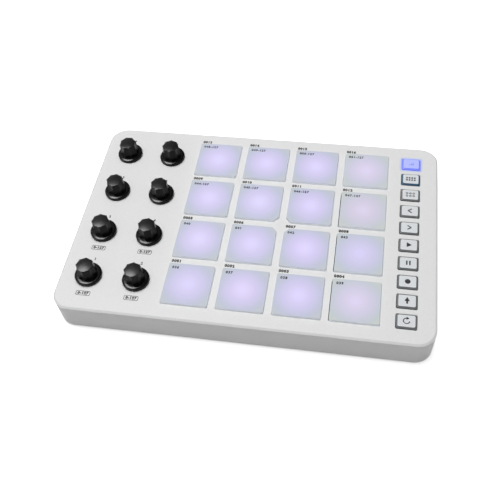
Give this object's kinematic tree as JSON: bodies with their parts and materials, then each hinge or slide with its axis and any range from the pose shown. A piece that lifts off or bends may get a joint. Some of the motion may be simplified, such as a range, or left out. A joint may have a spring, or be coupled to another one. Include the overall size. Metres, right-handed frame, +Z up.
{
  "type": "midi pad controller",
  "caption": "Flat desktop MIDI pad controller: a grid of soft lit pads, endless rotary knobs and a column of small keys in a white moulded housing on rubber feet.",
  "frame": {"origin": "under the middle of the housing, on the surface that the feet stand on", "axes": "+X to the right as the user sits, +Y to the rear, +Z up"},
  "size_m": [0.239, 0.158, 0.0356],
  "materials": {
    "housing_white": "fine moulded satin",
    "cover_grey": "moulded, lightly textured",
    "foot_rubber": "matt",
    "screw_steel": "zinc plated",
    "board_laminate": "green solder mask over glass laminate",
    "mat_silicone": "matt translucent silicone",
    "film": "polyester film",
    "lamp": "white lamp package",
    "encoder_metal": "pressed metal",
    "switch_plastic": "moulded",
    "socket_steel": "nickel plated",
    "slider_plastic": "moulded",
    "cell_foil": "laminated foil pouch",
    "wire_jacket": "silicone jacket",
    "connector_plastic": "nylon",
    "chip_resin": "moulded epoxy",
    "pad_silicone": "matt translucent silicone, lit from below",
    "knob_black": "semi-gloss black",
    "shaft_steel": "turned",
    "key_smoke": "clear smoky sides, pale printed face",
    "key_lit": "clear smoky sides, lit blue from below"
  },
  "bodies": {
    "chassis": {"top_housing": "housing_white", "bottom_cover": "cover_grey", "rubber_feet": "foot_rubber", "housing_screws": "screw_steel", "board_screws": "screw_steel", "main_board": "board_laminate", "pad_mat": "mat_silicone", "sensor_film": "film", "board_leds": "lamp", "encoder_bodies": "encoder_metal", "key_switches": "switch_plastic", "usb_socket": "socket_steel", "power_switch": "switch_plastic", "battery": "cell_foil", "battery_lead": "wire_jacket", "battery_socket": "connector_plastic", "control_chips": "chip_resin"},
    "power_slider": {"power_slider": "slider_plastic"},
    "pad_01": {"pad_01": "pad_silicone"},
    "pad_02": {"pad_02": "pad_silicone"},
    "pad_03": {"pad_03": "pad_silicone"},
    "pad_04": {"pad_04": "pad_silicone"},
    "pad_05": {"pad_05": "pad_silicone"},
    "pad_06": {"pad_06": "pad_silicone"},
    "pad_07": {"pad_07": "pad_silicone"},
    "pad_08": {"pad_08": "pad_silicone"},
    "pad_09": {"pad_09": "pad_silicone"},
    "pad_10": {"pad_10": "pad_silicone"},
    "pad_11": {"pad_11": "pad_silicone"},
    "pad_12": {"pad_12": "pad_silicone"},
    "pad_13": {"pad_13": "pad_silicone"},
    "pad_14": {"pad_14": "pad_silicone"},
    "pad_15": {"pad_15": "pad_silicone"},
    "pad_16": {"pad_16": "pad_silicone"},
    "key_01": {"key_01": "key_lit"},
    "key_02": {"key_02": "key_smoke"},
    "key_03": {"key_03": "key_smoke"},
    "key_04": {"key_04": "key_smoke"},
    "key_05": {"key_05": "key_smoke"},
    "key_06": {"key_06": "key_smoke"},
    "key_07": {"key_07": "key_smoke"},
    "key_08": {"key_08": "key_smoke"},
    "key_09": {"key_09": "key_smoke"},
    "key_10": {"key_10": "key_smoke"},
    "knob_1": {"knob_1": "knob_black", "encoder_shaft_1": "shaft_steel"},
    "knob_2": {"knob_2": "knob_black", "encoder_shaft_2": "shaft_steel"},
    "knob_3": {"knob_3": "knob_black", "encoder_shaft_3": "shaft_steel"},
    "knob_4": {"knob_4": "knob_black", "encoder_shaft_4": "shaft_steel"},
    "knob_5": {"knob_5": "knob_black", "encoder_shaft_5": "shaft_steel"},
    "knob_6": {"knob_6": "knob_black", "encoder_shaft_6": "shaft_steel"},
    "knob_7": {"knob_7": "knob_black", "encoder_shaft_7": "shaft_steel"},
    "knob_8": {"knob_8": "knob_black", "encoder_shaft_8": "shaft_steel"}
  },
  "joints": [
    {"name": "pad_01_press", "type": "slide", "parent": "chassis", "child": "pad_01", "axis": [0, 0, -1], "range_m": [0, 0.0006], "stiffness_N_per_m": 2000, "springref_m": -0.0003},
    {"name": "pad_02_press", "type": "slide", "parent": "chassis", "child": "pad_02", "axis": [0, 0, -1], "range_m": [0, 0.0006], "stiffness_N_per_m": 2000, "springref_m": -0.0003},
    {"name": "pad_03_press", "type": "slide", "parent": "chassis", "child": "pad_03", "axis": [0, 0, -1], "range_m": [0, 0.0006], "stiffness_N_per_m": 2000, "springref_m": -0.0003},
    {"name": "pad_04_press", "type": "slide", "parent": "chassis", "child": "pad_04", "axis": [0, 0, -1], "range_m": [0, 0.0006], "stiffness_N_per_m": 2000, "springref_m": -0.0003},
    {"name": "pad_05_press", "type": "slide", "parent": "chassis", "child": "pad_05", "axis": [0, 0, -1], "range_m": [0, 0.0006], "stiffness_N_per_m": 2000, "springref_m": -0.0003},
    {"name": "pad_06_press", "type": "slide", "parent": "chassis", "child": "pad_06", "axis": [0, 0, -1], "range_m": [0, 0.0006], "stiffness_N_per_m": 2000, "springref_m": -0.0003},
    {"name": "pad_07_press", "type": "slide", "parent": "chassis", "child": "pad_07", "axis": [0, 0, -1], "range_m": [0, 0.0006], "stiffness_N_per_m": 2000, "springref_m": -0.0003},
    {"name": "pad_08_press", "type": "slide", "parent": "chassis", "child": "pad_08", "axis": [0, 0, -1], "range_m": [0, 0.0006], "stiffness_N_per_m": 2000, "springref_m": -0.0003},
    {"name": "pad_09_press", "type": "slide", "parent": "chassis", "child": "pad_09", "axis": [0, 0, -1], "range_m": [0, 0.0006], "stiffness_N_per_m": 2000, "springref_m": -0.0003},
    {"name": "pad_10_press", "type": "slide", "parent": "chassis", "child": "pad_10", "axis": [0, 0, -1], "range_m": [0, 0.0006], "stiffness_N_per_m": 2000, "springref_m": -0.0003},
    {"name": "pad_11_press", "type": "slide", "parent": "chassis", "child": "pad_11", "axis": [0, 0, -1], "range_m": [0, 0.0006], "stiffness_N_per_m": 2000, "springref_m": -0.0003},
    {"name": "pad_12_press", "type": "slide", "parent": "chassis", "child": "pad_12", "axis": [0, 0, -1], "range_m": [0, 0.0006], "stiffness_N_per_m": 2000, "springref_m": -0.0003},
    {"name": "pad_13_press", "type": "slide", "parent": "chassis", "child": "pad_13", "axis": [0, 0, -1], "range_m": [0, 0.0006], "stiffness_N_per_m": 2000, "springref_m": -0.0003},
    {"name": "pad_14_press", "type": "slide", "parent": "chassis", "child": "pad_14", "axis": [0, 0, -1], "range_m": [0, 0.0006], "stiffness_N_per_m": 2000, "springref_m": -0.0003},
    {"name": "pad_15_press", "type": "slide", "parent": "chassis", "child": "pad_15", "axis": [0, 0, -1], "range_m": [0, 0.0006], "stiffness_N_per_m": 2000, "springref_m": -0.0003},
    {"name": "pad_16_press", "type": "slide", "parent": "chassis", "child": "pad_16", "axis": [0, 0, -1], "range_m": [0, 0.0006], "stiffness_N_per_m": 2000, "springref_m": -0.0003},
    {"name": "key_01_press", "type": "slide", "parent": "chassis", "child": "key_01", "axis": [0, 0, -1], "range_m": [0, 0.0008], "stiffness_N_per_m": 1200, "springref_m": -0.0004},
    {"name": "key_02_press", "type": "slide", "parent": "chassis", "child": "key_02", "axis": [0, 0, -1], "range_m": [0, 0.0008], "stiffness_N_per_m": 1200, "springref_m": -0.0004},
    {"name": "key_03_press", "type": "slide", "parent": "chassis", "child": "key_03", "axis": [0, 0, -1], "range_m": [0, 0.0008], "stiffness_N_per_m": 1200, "springref_m": -0.0004},
    {"name": "key_04_press", "type": "slide", "parent": "chassis", "child": "key_04", "axis": [0, 0, -1], "range_m": [0, 0.0008], "stiffness_N_per_m": 1200, "springref_m": -0.0004},
    {"name": "key_05_press", "type": "slide", "parent": "chassis", "child": "key_05", "axis": [0, 0, -1], "range_m": [0, 0.0008], "stiffness_N_per_m": 1200, "springref_m": -0.0004},
    {"name": "key_06_press", "type": "slide", "parent": "chassis", "child": "key_06", "axis": [0, 0, -1], "range_m": [0, 0.0008], "stiffness_N_per_m": 1200, "springref_m": -0.0004},
    {"name": "key_07_press", "type": "slide", "parent": "chassis", "child": "key_07", "axis": [0, 0, -1], "range_m": [0, 0.0008], "stiffness_N_per_m": 1200, "springref_m": -0.0004},
    {"name": "key_08_press", "type": "slide", "parent": "chassis", "child": "key_08", "axis": [0, 0, -1], "range_m": [0, 0.0008], "stiffness_N_per_m": 1200, "springref_m": -0.0004},
    {"name": "key_09_press", "type": "slide", "parent": "chassis", "child": "key_09", "axis": [0, 0, -1], "range_m": [0, 0.0008], "stiffness_N_per_m": 1200, "springref_m": -0.0004},
    {"name": "key_10_press", "type": "slide", "parent": "chassis", "child": "key_10", "axis": [0, 0, -1], "range_m": [0, 0.0008], "stiffness_N_per_m": 1200, "springref_m": -0.0004},
    {"name": "knob_1_turn", "type": "hinge", "parent": "chassis", "child": "knob_1", "pos_m": [-0.10015, -0.0534, 0.023], "axis": [0, 0, 1], "continuous": true},
    {"name": "knob_2_turn", "type": "hinge", "parent": "chassis", "child": "knob_2", "pos_m": [-0.0685, -0.0534, 0.023], "axis": [0, 0, 1], "continuous": true},
    {"name": "knob_3_turn", "type": "hinge", "parent": "chassis", "child": "knob_3", "pos_m": [-0.10015, -0.0178, 0.023], "axis": [0, 0, 1], "continuous": true},
    {"name": "knob_4_turn", "type": "hinge", "parent": "chassis", "child": "knob_4", "pos_m": [-0.0685, -0.0178, 0.023], "axis": [0, 0, 1], "continuous": true},
    {"name": "knob_5_turn", "type": "hinge", "parent": "chassis", "child": "knob_5", "pos_m": [-0.10015, 0.0178, 0.023], "axis": [0, 0, 1], "continuous": true},
    {"name": "knob_6_turn", "type": "hinge", "parent": "chassis", "child": "knob_6", "pos_m": [-0.0685, 0.0178, 0.023], "axis": [0, 0, 1], "continuous": true},
    {"name": "knob_7_turn", "type": "hinge", "parent": "chassis", "child": "knob_7", "pos_m": [-0.10015, 0.0534, 0.023], "axis": [0, 0, 1], "continuous": true},
    {"name": "knob_8_turn", "type": "hinge", "parent": "chassis", "child": "knob_8", "pos_m": [-0.0685, 0.0534, 0.023], "axis": [0, 0, 1], "continuous": true},
    {"name": "power_slide", "type": "slide", "parent": "chassis", "child": "power_slider", "axis": [1, 0, 0], "range_m": [0, 0.002]}
  ]
}
